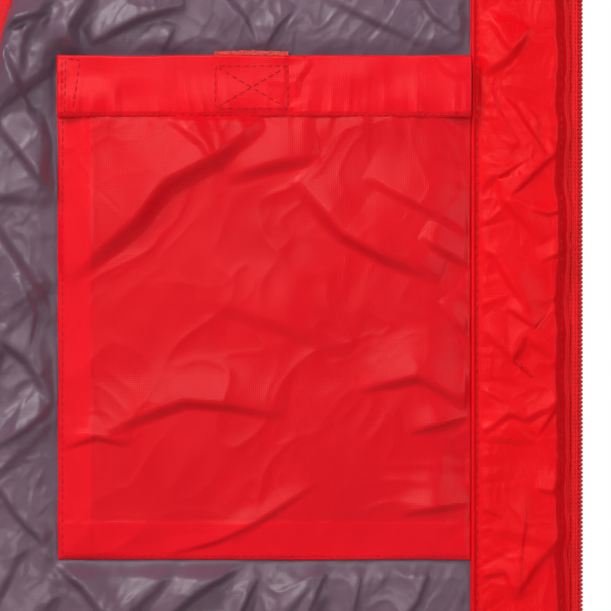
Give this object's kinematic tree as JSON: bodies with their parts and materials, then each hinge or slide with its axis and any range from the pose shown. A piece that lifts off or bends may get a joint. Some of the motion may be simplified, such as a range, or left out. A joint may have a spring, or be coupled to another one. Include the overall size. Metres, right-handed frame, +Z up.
{
  "type": "ski jacket",
  "caption": "Insulated ski jacket with a lined, zipped front, hood, sleeves, slanted hand pockets and an inner patch pocket; one front folded open.",
  "frame": {"origin": "top of the hanger loop inside the back of the neck, where the jacket hangs", "axes": "+Z up, +X to the wearer's left, -Y out of the front"},
  "size_m": [0.9184, 0.3071, 0.9716],
  "materials": {
    "shell": "satin",
    "lining": "satin",
    "wadding": "matte",
    "zip_tape": "matte",
    "zip_coil": "satin",
    "slider": "gloss",
    "hook_and_loop": "matte",
    "rib_knit": "matte"
  },
  "bodies": {
    "body": {"back_shell": "shell", "back_wadding": "wadding", "back_lining": "lining", "left_side_shell": "shell", "left_side_wadding": "wadding", "left_side_lining": "lining", "right_side_shell": "shell", "right_side_wadding": "wadding", "right_side_lining": "lining", "collar_back": "shell", "collar_back_lining": "lining", "hanger_loop": "shell"},
    "hood": {"hood_shell": "shell", "hood_lining": "lining", "hood_brim": "shell"},
    "left_front": {"left_front_shell": "shell", "left_front_wadding": "wadding", "left_front_lining": "lining", "left_front_facing": "shell", "left_zip_tape": "zip_tape", "left_zip_coil": "zip_coil", "left_collar_front": "shell", "left_pocket_welt": "shell", "left_pocket_zip": "zip_coil", "left_pocket_bag": "lining", "left_zip_pin": "zip_coil", "inner_pocket_loop_tape": "hook_and_loop", "inner_pocket_panel": "shell"},
    "left_pocket_slider": {"left_pocket_slider": "slider"},
    "left_pocket_pull": {"left_pocket_pull": "slider"},
    "left_sleeve": {"left_sleeve_shell": "shell", "left_sleeve_wadding": "wadding", "left_sleeve_lining": "lining", "left_cuff": "rib_knit", "left_cuff_loop_tape": "hook_and_loop"},
    "left_cuff_tab": {"left_cuff_tab": "shell"},
    "right_front": {"right_front_shell": "shell", "right_front_wadding": "wadding", "right_front_lining": "lining", "right_front_facing": "shell", "right_zip_tape": "zip_tape", "right_zip_coil": "zip_coil", "right_collar_front": "shell", "right_pocket_welt": "shell", "right_pocket_zip": "zip_coil", "right_pocket_bag": "lining", "right_zip_box": "zip_coil"},
    "right_pocket_slider": {"right_pocket_slider": "slider"},
    "right_pocket_pull": {"right_pocket_pull": "slider"},
    "right_sleeve": {"right_sleeve_shell": "shell", "right_sleeve_wadding": "wadding", "right_sleeve_lining": "lining", "right_cuff": "rib_knit", "right_cuff_loop_tape": "hook_and_loop"},
    "right_cuff_tab": {"right_cuff_tab": "shell"},
    "inner_pocket_mouth_hem": {"inner_pocket_hem": "shell", "inner_pocket_hook_tape": "hook_and_loop"},
    "main_slider": {"zip_slider": "slider"},
    "main_pull": {"zip_pull": "slider"}
  },
  "joints": [
    {"name": "left_front_fold", "type": "hinge", "parent": "body", "child": "left_front", "pos_m": [0.265, -0.08275, -0.719], "axis": [-0.232, 0.0139, 0.9726], "range_deg": [-140, 0]},
    {"name": "right_front_fold", "type": "hinge", "parent": "body", "child": "right_front", "pos_m": [-0.265, -0.08275, -0.719], "axis": [-0.232, -0.0139, -0.9726], "range_deg": [0, 140]},
    {"name": "inner_pocket_mouth", "type": "hinge", "parent": "left_front", "child": "inner_pocket_mouth_hem", "pos_m": [0.29068, -0.13059, -0.4445], "axis": [0.8249, -0.3375, 0.4535], "range_deg": [0, 40]},
    {"name": "zip_slide", "type": "slide", "parent": "right_front", "child": "main_slider", "axis": [0, 0.0949, 0.9955], "range_m": [0, 0.686]},
    {"name": "zip_pull_swing", "type": "hinge", "parent": "main_slider", "child": "main_pull", "pos_m": [0, -0.17157, -0.71158], "axis": [-1, 0, 0], "range_deg": [0, 165]},
    {"name": "left_pocket_slide", "type": "slide", "parent": "left_front", "child": "left_pocket_slider", "axis": [0.1709, 0.0096, -0.9852], "range_m": [0, 0.136]},
    {"name": "left_pocket_pull_swing", "type": "hinge", "parent": "left_pocket_slider", "child": "left_pocket_pull", "pos_m": [0.28741, -0.10732, -0.42797], "axis": [0.9229, -0.3517, 0.1567], "range_deg": [0, 165]},
    {"name": "right_pocket_slide", "type": "slide", "parent": "right_front", "child": "right_pocket_slider", "axis": [-0.2927, 0.0083, -0.9562], "range_m": [0, 0.136]},
    {"name": "right_pocket_pull_swing", "type": "hinge", "parent": "right_pocket_slider", "child": "right_pocket_pull", "pos_m": [-0.11615, -0.11454, -0.46872], "axis": [-0.901, 0.3326, 0.2787], "range_deg": [0, 165]},
    {"name": "left_shoulder", "type": "hinge", "parent": "body", "child": "left_sleeve", "pos_m": [0.32623, -0.03775, -0.14169], "axis": [0, -1, 0], "range_deg": [0, 60]},
    {"name": "left_cuff_tab_peel", "type": "hinge", "parent": "left_sleeve", "child": "left_cuff_tab", "pos_m": [0.40233, 0.01295, -0.56693], "axis": [-0.0563, 0.0395, 0.9976], "range_deg": [0, 80]},
    {"name": "right_shoulder", "type": "hinge", "parent": "body", "child": "right_sleeve", "pos_m": [-0.32623, -0.03775, -0.14169], "axis": [0, 1, 0], "range_deg": [0, 60]},
    {"name": "right_cuff_tab_peel", "type": "hinge", "parent": "right_sleeve", "child": "right_cuff_tab", "pos_m": [-0.40233, 0.01295, -0.56693], "axis": [-0.0563, -0.0395, -0.9976], "range_deg": [0, 80]},
    {"name": "hood_fold", "type": "hinge", "parent": "body", "child": "hood", "pos_m": [0, 0.04025, -0.013], "axis": [-1, 0, 0], "range_deg": [0, 80]}
  ]
}
